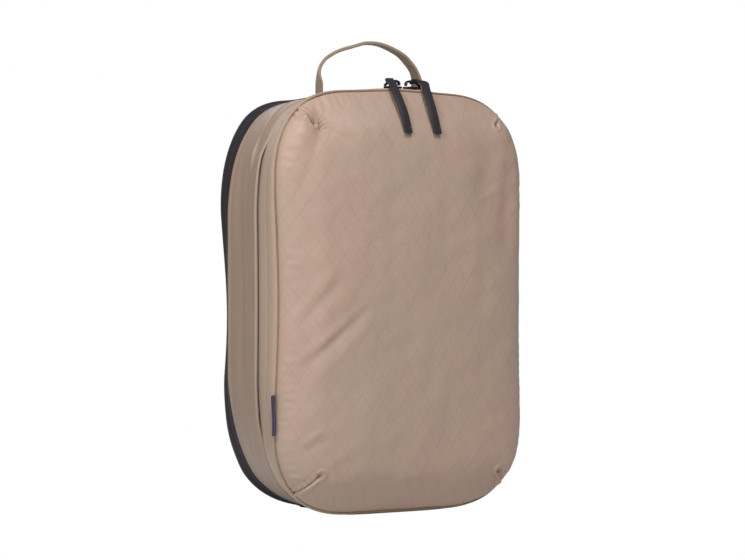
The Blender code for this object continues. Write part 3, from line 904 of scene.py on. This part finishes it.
def gusset_folds(along, depth):
    """Sum of the gusset's folds, for arrays of the way round (metres) and the depth."""
    total = np.zeros(np.broadcast(along, depth).shape)
    dice = np.random.default_rng(5)
    for start in np.linspace(0, PERIMETER, 17)[:-1]:
        length = dice.uniform(0.10, 0.26)
        line_from, line_to = dice.uniform(-15, 16, 2) * MM
        height = dice.uniform(-0.9, 1.1) * MM
        width = dice.uniform(2.6, 5.5) * MM
        first = start + dice.uniform(-0.04, 0.04)
        for turn in (-1, 0, 1):
            along_too = along + turn * PERIMETER
            total += ridge(along_too, depth, first, first + length, line_from, line_to, height, width)
    return total


def side_stretch(place, outward, low, high, soft=26 * MM):
    """1 along the straight sides between two heights, falling softly to 0 beyond them."""
    stretch = ease((place[:, 1] - low) / soft) * ease((high - place[:, 1]) / soft)
    return stretch * np.clip(np.abs(outward[:, 0]) * 4 - 3, 0, 1)


def front_half(place, outward, depth):
    """The gusset's front half leans out from a crease to its hem, along the straight sides.

    The crease runs up the middle, over the divider's seam, and drifts forward near the corners.
    """
    z = place[:, 1:]
    stand_off = side_stretch(place, outward, 58 * MM, 322 * MM)[:, None]
    high = np.clip((z - 258 * MM) / (70 * MM), 0, 1) ** 1.3
    low = np.clip((80 * MM - z) / (60 * MM), 0, 1) ** 1.3
    crease = -0.5 * MM - 19 * MM * high - 16 * MM * low
    out = np.clip((crease - depth) / (GUSSET_HALF + crease), 0, 1.1)
    bright_fold = 2.0 * MM * np.exp(-(((depth + 6.5 * MM) / (1.7 * MM)) ** 2)) * (place[:, :1] < 0)
    bright_fold = bright_fold * np.exp(-(((z - 306 * MM) / (15 * MM)) ** 2))
    return 3.0 * MM * out * stand_off + bright_fold


def make_gusset():
    """Ring with hemmed, rounded edges: the outer run across, round the hem, and back inside."""
    place, outward, along = closed_ring
    share = np.linspace(-1, 1, 61)
    reach = GUSSET_HALF + 0.9 * MM
    depth = share * reach
    hem = np.exp(-(((np.abs(depth) - (reach - 2.2 * MM)) / (1.6 * MM)) ** 2))
    valley = np.exp(-(((np.abs(depth) - (reach - 5.2 * MM)) / (1.3 * MM)) ** 2))
    edge_drop = 1.2 * MM * np.clip((np.abs(share) - 0.965) / 0.035, 0, 1) ** 2
    inset = 0.75 * MM - 0.35 * MM * hem + 0.25 * MM * valley + edge_drop
    grid_along, grid_depth = np.meshgrid(along[:-1], depth, indexing="ij")
    soft = np.clip((reach - np.abs(grid_depth)) / (6 * MM), 0, 1)
    lift = gusset_folds(grid_along, grid_depth) * soft
    lift += front_half(place, outward, grid_depth)
    flat = np.clip((-outward[:, 1:] - 0.9) / 0.1, 0, 1)
    lift = np.where(flat > 0, np.minimum(lift * (1 - flat), 0.3 * MM), lift)
    points = shell(inset, depth, GUSSET_THICKNESS, closed_ring, lift)
    cloth = ring_cloth(points, along)
    return grid_mesh("gusset_cloth", points, cloth, round_u=True, round_v=True)


dress(make_gusset(), GUSSET_CLOTH, "cube_body", "gusset_tan", "side_gusset")


# %% [markdown]
# ## Straps
# The handle and the zip pulls are flat strips carried along a path. The strip's section is a
# rounded rectangle; its width lies along a fixed direction and its thickness at right angles to
# both. The handle crosses its fold line, and it is made as one strip.


# %% Sweeping a flat section
def smooth_path(points, count):
    """Even steps of length along a cubic drawn through a few given points."""
    points = np.asarray(points, dtype=float)
    slope = np.gradient(points, axis=0)
    share = np.linspace(0, 1, 17)[:, None]
    runs = [points[:1]]
    for first, last, leave, arrive in zip(points, points[1:], slope, slope[1:]):
        curve = (
            (2 * share**3 - 3 * share**2 + 1) * first
            + (share**3 - 2 * share**2 + share) * leave
            + (3 * share**2 - 2 * share**3) * last
            + (share**3 - share**2) * arrive
        )
        runs.append(curve[1:])
    fine = np.concatenate(runs)
    length = np.concatenate(([0], np.cumsum(np.linalg.norm(np.diff(fine, axis=0), axis=1))))
    steps = np.linspace(0, length[-1], count)
    return np.column_stack([np.interp(steps, length, fine[:, axis]) for axis in range(3)])


def rounded(width, thickness, count=40, power=5.0):
    """Section of a flat strip: a superellipse, as (across, through) points."""
    turn = np.linspace(0, 2 * math.pi, count, endpoint=False)
    c, s = np.cos(turn), np.sin(turn)
    across = width / 2 * np.sign(c) * np.abs(c) ** (2 / power)
    through = thickness / 2 * np.sign(s) * np.abs(s) ** (2 / power)
    return np.column_stack((across, through))


def strip_frames(path, across):
    """For each point of a path, the strip's sideways and upward directions."""
    tangent = np.gradient(path, axis=0)
    tangent /= np.linalg.norm(tangent, axis=1, keepdims=True)
    across = np.broadcast_to(np.asarray(across, dtype=float), path.shape)
    up = np.cross(tangent, across)
    up /= np.linalg.norm(up, axis=1, keepdims=True)
    return across, up


def strip(name, path, section, across, wide=1.0, thick=1.0, emboss=0.0):
    """Carry a section along a path. wide and thick scale it at each point, and emboss lifts it."""
    sideways, up = strip_frames(path, across)
    wide = np.broadcast_to(wide, len(path))[:, None, None]
    thick = np.broadcast_to(thick, len(path))[:, None, None]
    offset_wide = sideways[:, None] * section[:, :1] * wide
    offset_thick = up[:, None] * (section[:, 1:] * thick + np.asarray(emboss)[..., None])
    points = path[:, None] + offset_wide + offset_thick
    length = np.concatenate(([0], np.cumsum(np.linalg.norm(np.diff(path, axis=0), axis=1))))
    return grid_mesh(name, points, ring_cloth(points, length), round_v=True, caps=True)


# %% Handle
WEBBING_WIDTH = 19 * MM
WEBBING_THICKNESS = 1.7 * MM


def handle_path(count=170):
    """Course of the handle: upright legs to the fold line, then an arch that leans a little.

    The arch is an ellipse whose left half is pointed and whose right half is squarer.
    """
    low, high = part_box("handle_webbing")
    half = (high[0] - low[0]) / 2 - 1.0 * MM
    leg = 7 * MM
    turn = np.linspace(0, math.pi, 61)
    power = np.where(turn < math.pi / 2, 1.7, 0.88)
    x = -half * np.sign(np.cos(turn)) * np.abs(np.cos(turn)) ** power
    rise = leg + (high[2] - 1.0 * MM - HEIGHT - leg) * np.sin(turn).clip(0) ** 0.88
    feet = np.array((-7.4 * MM, -2.0 * MM, 3.4 * MM))
    x = np.concatenate((np.full(3, -half), x, np.full(3, half)))
    rise = np.concatenate((feet, rise, feet[::-1]))
    lean = 4.5 * MM * np.clip(rise / (24 * MM), 0, 1) ** 2
    ripple = 0.5 * MM * np.sin(x / (7 * MM)) * np.clip((rise - 20 * MM) / (15 * MM), 0, 1)
    return smooth_path(np.column_stack((x - lean, np.zeros(len(x)), HEIGHT + rise + ripple)), count)


def make_handle():
    """One webbing: flat at its feet, then turned a little and folded narrower where a hand holds it."""
    path = handle_path()
    up_leg = np.clip((path[:, 2] - HEIGHT - 2 * MM) / (15 * MM), 0, 1)
    grip = ease(up_leg)
    leftness = np.clip(0.5 - path[:, 0] / (80 * MM), 0, 1)
    turned = np.radians(6 + 12 * leftness + grip * (16 * leftness - 2))
    across = np.column_stack((np.sin(turned), np.cos(turned), np.zeros(len(path))))
    section = rounded(WEBBING_WIDTH, WEBBING_THICKNESS, 44, 7.0)
    handle = strip("handle_strap", path, section, across, 1 - 0.38 * grip, 1 + 0.7 * grip)
    handle.data.materials.append(WEBBING_CLOTH)
    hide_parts("handle_webbing", "handle_foot_left", "handle_foot_right")
    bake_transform(handle)
    print("handle strap", len(handle.data.polygons), "faces")


make_handle()


# %% [markdown]
# ## Zip sliders
# A slider is a small casting: a top plate and a bottom plate held apart by a post, side flanges
# that turn in over the tape, and a bridge that arches over the top for the pull. The plates are
# pebbles, loops of one outline that shrink towards the middle with a rounded rim.


# %% Slider castings
SLIDER_WIDTH = 8.6 * MM


def slider_outline(length, width, count=56):
    """Shield shape seen from above: round shoulders at the head, drawn in towards the tail."""
    turn = np.linspace(0, 2 * math.pi, count, endpoint=False)
    x = length / 2 * np.sign(np.cos(turn)) * np.abs(np.cos(turn)) ** 0.75
    taper = 1 - 0.22 * np.clip(0.5 - x / length, 0, 1) ** 1.4 - 0.10 * np.clip(x / length, 0, 1)
    y = width / 2 * np.sign(np.sin(turn)) * np.abs(np.sin(turn)) ** 0.7 * taper
    return np.column_stack((x, y))


def pebble(name, outline, thickness, rim, dome):
    """A plate with a rounded rim: loops of the outline, shrunk and raised by a profile."""
    turn = np.linspace(-math.pi / 2, math.pi / 2, 9)
    shrink = rim * (1 - np.cos(turn))
    height = thickness / 2 * np.sin(turn)
    reach = np.linalg.norm(outline, axis=1, keepdims=True)
    loops = [
        np.column_stack((outline * (1 - less / reach), np.full(len(outline), level)))
        for less, level in zip(shrink, height)
    ]
    for share, lift in ((0.75, 0.3), (0.5, 0.7), (0.25, 0.93), (0.04, 1.0)):
        top = np.column_stack((outline * share, np.full(len(outline), thickness / 2 + dome * lift)))
        bottom = np.column_stack((outline * share, np.full(len(outline), -thickness / 2)))
        loops.append(top)
        loops.insert(0, bottom)
    return grid_mesh(name, np.array(loops), round_v=True, caps=True)


def join(name, pieces):
    """Join several closed meshes into one object, each staying its own closed shell."""
    shape = bmesh.new()
    for piece in pieces:
        mesh = piece.data
        mesh.transform(piece.matrix_world)
        shape.from_mesh(mesh)
        bpy.data.objects.remove(piece)
    mesh = bpy.data.meshes.new(name)
    shape.to_mesh(mesh)
    shape.free()
    whole = bpy.data.objects.new(name, mesh)
    bpy.context.scene.collection.objects.link(whole)
    return whole


def moved(piece, x, y, z, mirror=1):
    """Bake a place into a piece's mesh. mirror = -1 turns it round to face the other way."""
    points = np.empty(len(piece.data.vertices) * 3)
    piece.data.vertices.foreach_get("co", points)
    points = points.reshape(-1, 3) * (mirror, mirror, 1) + (x, y, z)
    piece.data.vertices.foreach_set("co", points.ravel())
    piece.data.update()
    return piece


def on_its_run(piece, side_name):
    """Turn a back slider or pull, made over the top run, onto the right side's run."""
    if SIDES[side_name] == BACK:
        points = np.empty(len(piece.data.vertices) * 3)
        piece.data.vertices.foreach_get("co", points)
        x, y, z = points.reshape(-1, 3).T
        points = np.column_stack((z - HEIGHT + HALF_WIDTH, y, MIDDLE - x))
        piece.data.vertices.foreach_set("co", points.ravel())
        piece.data.update()
    return piece


def top_run_box(node):
    """A node's box as it is, or for the back's pieces as it would be over the top run."""
    low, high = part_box(node)
    if not node.startswith("back"):
        return low, high
    lift = HEIGHT - HALF_WIDTH
    left_low = Vector((MIDDLE - high[2], low[1], low[0] + lift))
    right_high = Vector((MIDDLE - low[2], high[1], high[0] + lift))
    return left_low, right_high


def make_slider(side_name, place):
    """Body and bridge of one slider. Its head points to the other slider of the pair."""
    side = SIDES[side_name]
    node = f"{side_name}_slider_{place}"
    low, high = top_run_box(f"{node}_body")
    middle = (low + high) / 2
    head = 1 if place in ("left", "upper") else -1
    outline = slider_outline(high[0] - low[0], SLIDER_WIDTH)
    plate, rim = 1.3 * MM, 0.55 * MM
    levels = (low[2] + plate / 2, (low[2] + high[2]) / 2, high[2] - plate / 2)
    top = moved(pebble("top", outline, plate, rim, 0.35 * MM), middle[0], middle[1], levels[2], head)
    under = moved(pebble("under", outline, plate, rim, 0.0), middle[0], middle[1], levels[0], head)
    post_line = np.array([(0, 0, level) for level in levels])
    post = strip("post", post_line, rounded(5 * MM, 0.9 * MM, 20, 3.0), (1, 0, 0))
    post = moved(post, middle[0] + head * 4 * MM, middle[1], 0)
    flanges = []
    for way in (-1, 1):
        x = np.linspace(-7, 6.4, 24) * MM
        y = way * np.interp(x, (-7 * MM, 3 * MM, 6.4 * MM), (3.1, 4.1, 3.7)) * MM
        line = np.column_stack((x, y, np.full(24, high[2] - plate - 0.25 * MM)))
        flange = strip("flange", line, rounded(0.8 * MM, 1.0 * MM, 16, 3.0), (0, 1, 0))
        flanges.append(moved(flange, middle[0], middle[1], 0, head))
    body = on_its_run(join(f"{node}_casting", [top, under, post, *flanges]), side_name)
    body.data.shade_smooth()
    dress(body, SLIDER_METAL, f"{side_name}_{place}_slider", "slider_gunmetal", f"{node}_body")
    bridge_low, bridge_high = top_run_box(f"{node}_bridge")
    arch_top = bridge_high[2] - 0.7 * MM
    arch_low = bridge_low[2] + 0.1 * MM
    half = (bridge_high[0] - bridge_low[0]) / 2 - 0.6 * MM
    course = (
        (-half - 1.6 * MM, arch_low),
        (-half, arch_low + 1.1 * MM),
        (-half * 0.72, arch_low + (arch_top - arch_low) * 0.62),
        (-half * 0.25, arch_top - 0.35 * MM),
        (half * 0.45, arch_top),
        (half * 0.93, arch_top - 1.2 * MM),
        (half, arch_low),
    )
    path = smooth_path([(x, 0, z) for x, z in course], 60)
    grow = 1 + 0.12 * np.sin(np.linspace(0, math.pi, 60))
    bridge = strip(f"{node}_arch", path, rounded(3.2 * MM, 1.9 * MM, 24, 3.2), (0, 1, 0), grow, grow)
    bridge = on_its_run(moved(bridge, middle[0], middle[1], 0, head), side_name)
    dress(bridge, SLIDER_METAL, f"{side_name}_{place}_slider", "slider_gunmetal", f"{node}_bridge")


SLIDER_PLACES = (("front", "left"), ("front", "right"), ("back", "upper"), ("back", "lower"))
for slider_side, slider_place in SLIDER_PLACES:
    make_slider(slider_side, slider_place)


# %% [markdown]
# ## Zip pulls
# A pull is a soft moulded strap: a neck looped round the bridge, then a flat tongue that lies
# over the edge of the lid. The tongue has a raised border and two sunk patches, near the neck and
# near the tip. The path runs through the same course as the solid of the pull.


# %% Pull straps
PULL_WIDTH = 7.8 * MM
PULL_THICKNESS = 2.1 * MM


def pull_course(side, place):
    """Depths and heights of a pull's course: the loop, over the zip band, then down the lid."""
    low, high = top_run_box(f"{side}_slider_{place}_bridge")
    bar_x, bar_z = (low[0] + high[0]) / 2, high[2] - 0.8 * MM
    turns = np.radians((-35, 15, 60, 105, 140))
    loop = 2.3 * MM
    course = [(ZIP_CENTRE - loop * math.cos(t), bar_z - 0.6 * MM + loop * math.sin(t)) for t in turns]
    course += (
        (SEAM_DEPTH - 3.6 * MM, HEIGHT + 4.4 * MM),
        (SEAM_DEPTH + 4.6 * MM, HEIGHT - 1.5 * MM),
        (SEAM_DEPTH + 13.6 * MM, HEIGHT - 12 * MM),
        (SEAM_DEPTH + 20.2 * MM, HEIGHT - 24 * MM),
        (SEAM_DEPTH + 24.4 * MM, bar_z - 45.5 * MM),
    )
    return bar_x, course


def make_pull(side, place, shifts):
    """A strap whose neck widens into a tongue. shifts are its places along the zip, from the bar's."""
    centre, course = pull_course(side, place)
    x = centre + np.interp(np.arange(len(course)), (0, 3, 5, 6, 7, 8, 9), shifts) * MM
    path = smooth_path([(a, SIDES[side] * depth, z) for a, (depth, z) in zip(x, course)], 200)
    length = np.concatenate(([0], np.cumsum(np.linalg.norm(np.diff(path, axis=0), axis=1))))
    total = length[-1]
    neck = 0.55 if place == "right" else 1.0
    stations = (0, 3 * MM, 8 * MM, 11 * MM, total - 1.2 * MM, total)
    wide = np.interp(length, stations, (0.5, neck, neck, 1.08, 1, 0.86))
    thick = np.interp(length, (0, 10 * MM, 16 * MM, total - 2 * MM, total), (0.75, 0.8, 1, 1, 0.6))
    section = rounded(PULL_WIDTH, PULL_THICKNESS, 64, 4.5)
    across = np.abs(section[:, 0]) / (PULL_WIDTH / 2)
    outer = np.sign(section[:, 1]) * (across < 0.9)
    inside = np.clip((0.68 - across) / 0.1, 0, 1)

    def patch(start, end):
        return np.clip((length - start) / (0.5 * MM), 0, 1) * np.clip((end - length) / (0.5 * MM), 0, 1)

    sunk = patch(20 * MM, 25 * MM) + patch(total - 7.5 * MM, total - 4 * MM)
    emboss = -0.35 * MM * sunk[:, None] * inside[None] * outer[None]
    groove = patch(27 * MM, total - 9.5 * MM)
    rail = np.exp(-(((across - 0.74) / 0.06) ** 2))
    emboss -= 0.16 * MM * groove[:, None] * rail[None] * outer[None]
    strap = strip(f"{side}_{place}_strap", path, section, (1, 0, 0), wide, thick, emboss)
    strap = on_its_run(strap, side)
    dress(strap, PULL_SKIN, f"{side}_{place}_pull", "pull_grey", f"{side}_pull_{place}")


make_pull("front", "left", (-2.2, -3.4, -6.2, -9.3, -10.4, -10.0, -8.6))
make_pull("front", "right", (1.0, 3, 8.0, 3.9, 1.2, 0.4, 1.6))
for straight_place in ("upper", "lower"):
    make_pull("back", straight_place, (0,) * 7)


# %% [markdown]
# ## The label
# A short woven ribbon is folded in half and caught in the left side of the front seam. It has no
# lettering. The fold makes it a loop: its section is a narrow hairpin, closed at the far end.


# %% Label
def make_label():
    """A folded ribbon: a hairpin section, carried up the seam for the label's height."""
    low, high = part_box("side_label")
    root = np.array((high[0] + 2.5 * MM, high[1] + 2.0 * MM))
    tip = np.array((low[0] - 0.5 * MM, low[1] - 0.2 * MM))
    ahead = (tip - root) / np.linalg.norm(tip - root)
    aside = np.array((-ahead[1], ahead[0]))
    reach = np.linalg.norm(tip - root)
    share = np.linspace(0, 1, 14)
    closing = np.sqrt(np.clip(1 - ((share - 0.25) / 0.75).clip(0) ** 4, 0, 1))
    half = 0.95 * MM * closing * (0.35 + 0.65 * share**0.5)
    one = root + ahead * reach * share[:, None] + aside * half[:, None]
    other = (root + ahead * reach * share[:, None] - aside * half[:, None])[::-1]
    section = np.concatenate((one, other[1:]))
    z = np.linspace(low[2], high[2], 34) + 4 * MM
    sway = 0.5 * MM * np.sin((z - low[2]) / (high[2] - low[2]) * math.pi * 1.3)
    points = np.empty((len(z), len(section), 3))
    points[..., :2] = section + aside * sway[:, None, None]
    points[..., 2] = z[:, None]
    return grid_mesh("label_loop", points, ring_cloth(points, z), round_v=True, caps=True)


dress(make_label(), LABEL_CLOTH, "front_lid", "label_blue", "side_label")

# %% [markdown]
# ## Inside the cube
# With a lid open one sees bound seams, the divider between the two compartments and the tabs over
# the ends of the zip. The bindings are narrow folded tapes that follow the outline inside.


# %% Bindings, divider and end tabs
BINDING = 0.9 * MM


def binding_piece(side_name, owner, inset, start, width, body):
    """A folded tape over a seam's raw edge: a flat ring from start over its width."""
    depth = SIDES[side_name] * (start + width * np.linspace(0, 1, 14))
    points = shell(inset + 0.3 * MM, depth, BINDING, closed_ring)
    cloth = ring_cloth(points, closed_ring[2])
    piece = grid_mesh(f"{side_name}_{owner}_bias", points, cloth, round_u=True, round_v=True)
    slot = f"tape_{SLOT_NAME[side_name]}"
    dress(piece, TAPE_CLOTH[side_name], body, slot, f"{side_name}_{owner}_binding")


for side_name in SIDES:
    binding_piece(side_name, "gusset", 2.9 * MM, 18.6 * MM, 5.6 * MM, "cube_body")
    binding_piece(side_name, "seam", 5.4 * MM, 38.6 * MM, 4.0 * MM, f"{side_name}_lid")


def make_divider(rings=26):
    """A sheet across the middle: the inner outline drawn in towards its centre in even steps."""
    place, outward, along = closed_ring
    rim = place - outward * (1.6 * MM + draw_in(place, outward, np.array([0.0])))
    centre = np.array((0, MIDDLE))
    share = np.linspace(1, 0.02, rings)[:, None, None]
    plan = centre + (rim - centre) * share
    ripple = 0.8 * MM * soft_noise(plan[..., 0], plan[..., 1], 80 * MM, 41) * (1 - share[..., 0] ** 4)
    faces = [np.stack((plan[..., 0], ripple + way * 0.3 * MM, plan[..., 1]), axis=-1) for way in (-1, 1)]
    points = np.concatenate((faces[0][::-1], faces[1]))
    flat = np.concatenate((plan[::-1], plan))
    cloth = np.concatenate((flat, flat[:, :1]), axis=1)
    sheet = grid_mesh("divider_cloth", points, cloth, round_v=True, caps=True)
    dress(sheet, LINING_CLOTH, "cube_body", "lining_charcoal", "divider")
    hem_depth = np.linspace(-2.6, 2.6, 12) * MM
    hem = shell(1.35 * MM + 0.25 * MM * np.abs(np.linspace(-1, 1, 12)), hem_depth, BINDING, closed_ring)
    tape = grid_mesh("divider_bias", hem, ring_cloth(hem, along), round_u=True, round_v=True)
    dress(tape, TAPE_CLOTH["front"], "cube_body", "tape_tan", "divider_binding")


make_divider()

for name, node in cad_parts.items():
    if node.hide_render:
        continue
    inner = TAPE_CLOTH["back" if name.startswith("back") else "front"]
    node.data.materials.clear()
    node.data.materials.append(inner)
    print("kept", name)

# %% [markdown]
# ## Camera, light and floor
# The camera stands off to the cube's left, level with its middle, and far away, with a long lens.
# The key light is small and near, high in front on the left, so that it falls off across the
# front. Weaker ones stand above, on the right and behind, inside a white surround. The floor is
# white and reflects light, but the camera and shadows pass through it, as through a lit glass
# table: an open lid hangs below the cube's base and is still seen.

# %% Camera
AZIMUTH = math.radians(-36.2)
ELEVATION = math.radians(1.1)
DISTANCE = 2.62
LENS_MM = 149.9
seam_middle = Vector((0, -SEAM_DEPTH, MIDDLE))
back_way = Vector((
    math.sin(AZIMUTH) * math.cos(ELEVATION),
    -math.cos(AZIMUTH) * math.cos(ELEVATION),
    math.sin(ELEVATION),
))
right_way = Vector((math.cos(AZIMUTH), math.sin(AZIMUTH), 0))
up_way = back_way.cross(right_way)
camera = bpy.data.objects.new("camera", bpy.data.cameras.new("camera"))
bpy.context.scene.collection.objects.link(camera)
camera.data.lens = LENS_MM
camera.location = seam_middle + back_way * DISTANCE
AIM_LEFT = 21.9 * MM
AIM_UP = 17.2 * MM
aim = seam_middle - right_way * AIM_LEFT + up_way * AIM_UP
camera.rotation_euler = (aim - camera.location).to_track_quat("-Z", "Y").to_euler()
bpy.context.scene.camera = camera


# %% Lights, surround and floor
def area_light(name, place, size, power, colour):
    """A square soft light that faces the middle of the cube."""
    light = bpy.data.lights.new(name, "AREA")
    light.size = size
    light.energy = power
    light.color = colour
    lamp = bpy.data.objects.new(name, light)
    lamp.location = place
    lamp.visible_camera = False
    lamp.rotation_euler = (Vector((0, 0, MIDDLE)) - lamp.location).to_track_quat("-Z", "Y").to_euler()
    bpy.context.scene.collection.objects.link(lamp)


area_light("key", Vector((-1.0, -0.60, 0.78)), 0.42, 11.0, (1.0, 0.985, 0.965))
area_light("fill", Vector((1.0, -2.2, 0.4)), 1.2, 0.6, (0.97, 0.98, 1.0))
area_light("rear", Vector((0.7, 2.3, 0.9)), 1.2, 12, (1.0, 1.0, 1.0))
area_light("top", Vector((-0.4, -1.2, 2.0)), 0.7, 48, (1.0, 1.0, 1.0))


# The surround is white as the camera sees it and gives only a little light.
world = bpy.data.worlds.new("surround")
world.use_nodes = True
bpy.context.scene.world = world
sky_tree = world.node_tree
sky = sky_tree.nodes["Background"]
sky.inputs["Color"].default_value = (1, 1, 1, 1)
ray = sky_tree.nodes.new("ShaderNodeLightPath")
strength = sky_tree.nodes.new("ShaderNodeMix")
strength.inputs[2].default_value = 0.09
strength.inputs[3].default_value = 1.0
sky_tree.links.new(ray.outputs["Is Camera Ray"], strength.inputs[0])
sky_tree.links.new(strength.outputs[0], sky.inputs["Strength"])

bpy.ops.mesh.primitive_plane_add(size=12, location=(0, 0, -0.0003))
floor = bpy.context.object
floor.name = "studio_floor"
floor_paint = Finish("floor_white", 0.5, Base_Color=(0.8, 0.8, 0.8, 1), Emission_Color=(1, 1, 1, 1))
floor_paint.shader.inputs["Emission Strength"].default_value = 0.1
to_camera = floor_paint.node("ShaderNodeLightPath", {}, {})
to_shadow = Wire(floor_paint, to_camera.socket.node.outputs["Is Shadow Ray"])
see_through = to_camera.maths("MAXIMUM", to_camera, to_shadow)
paint = Wire(floor_paint, floor_paint.shader.outputs[0])
clear = floor_paint.node("ShaderNodeBsdfTransparent", {}, {})
surface = floor_paint.node("ShaderNodeMixShader", {}, {0: see_through, 1: paint, 2: clear})
floor_output = floor_paint.tree.nodes["Material Output"]
floor_paint.tree.links.new(surface.socket, floor_output.inputs["Surface"])
floor.data.materials.append(floor_paint.material)
bpy.context.scene.view_settings.view_transform = "Standard"
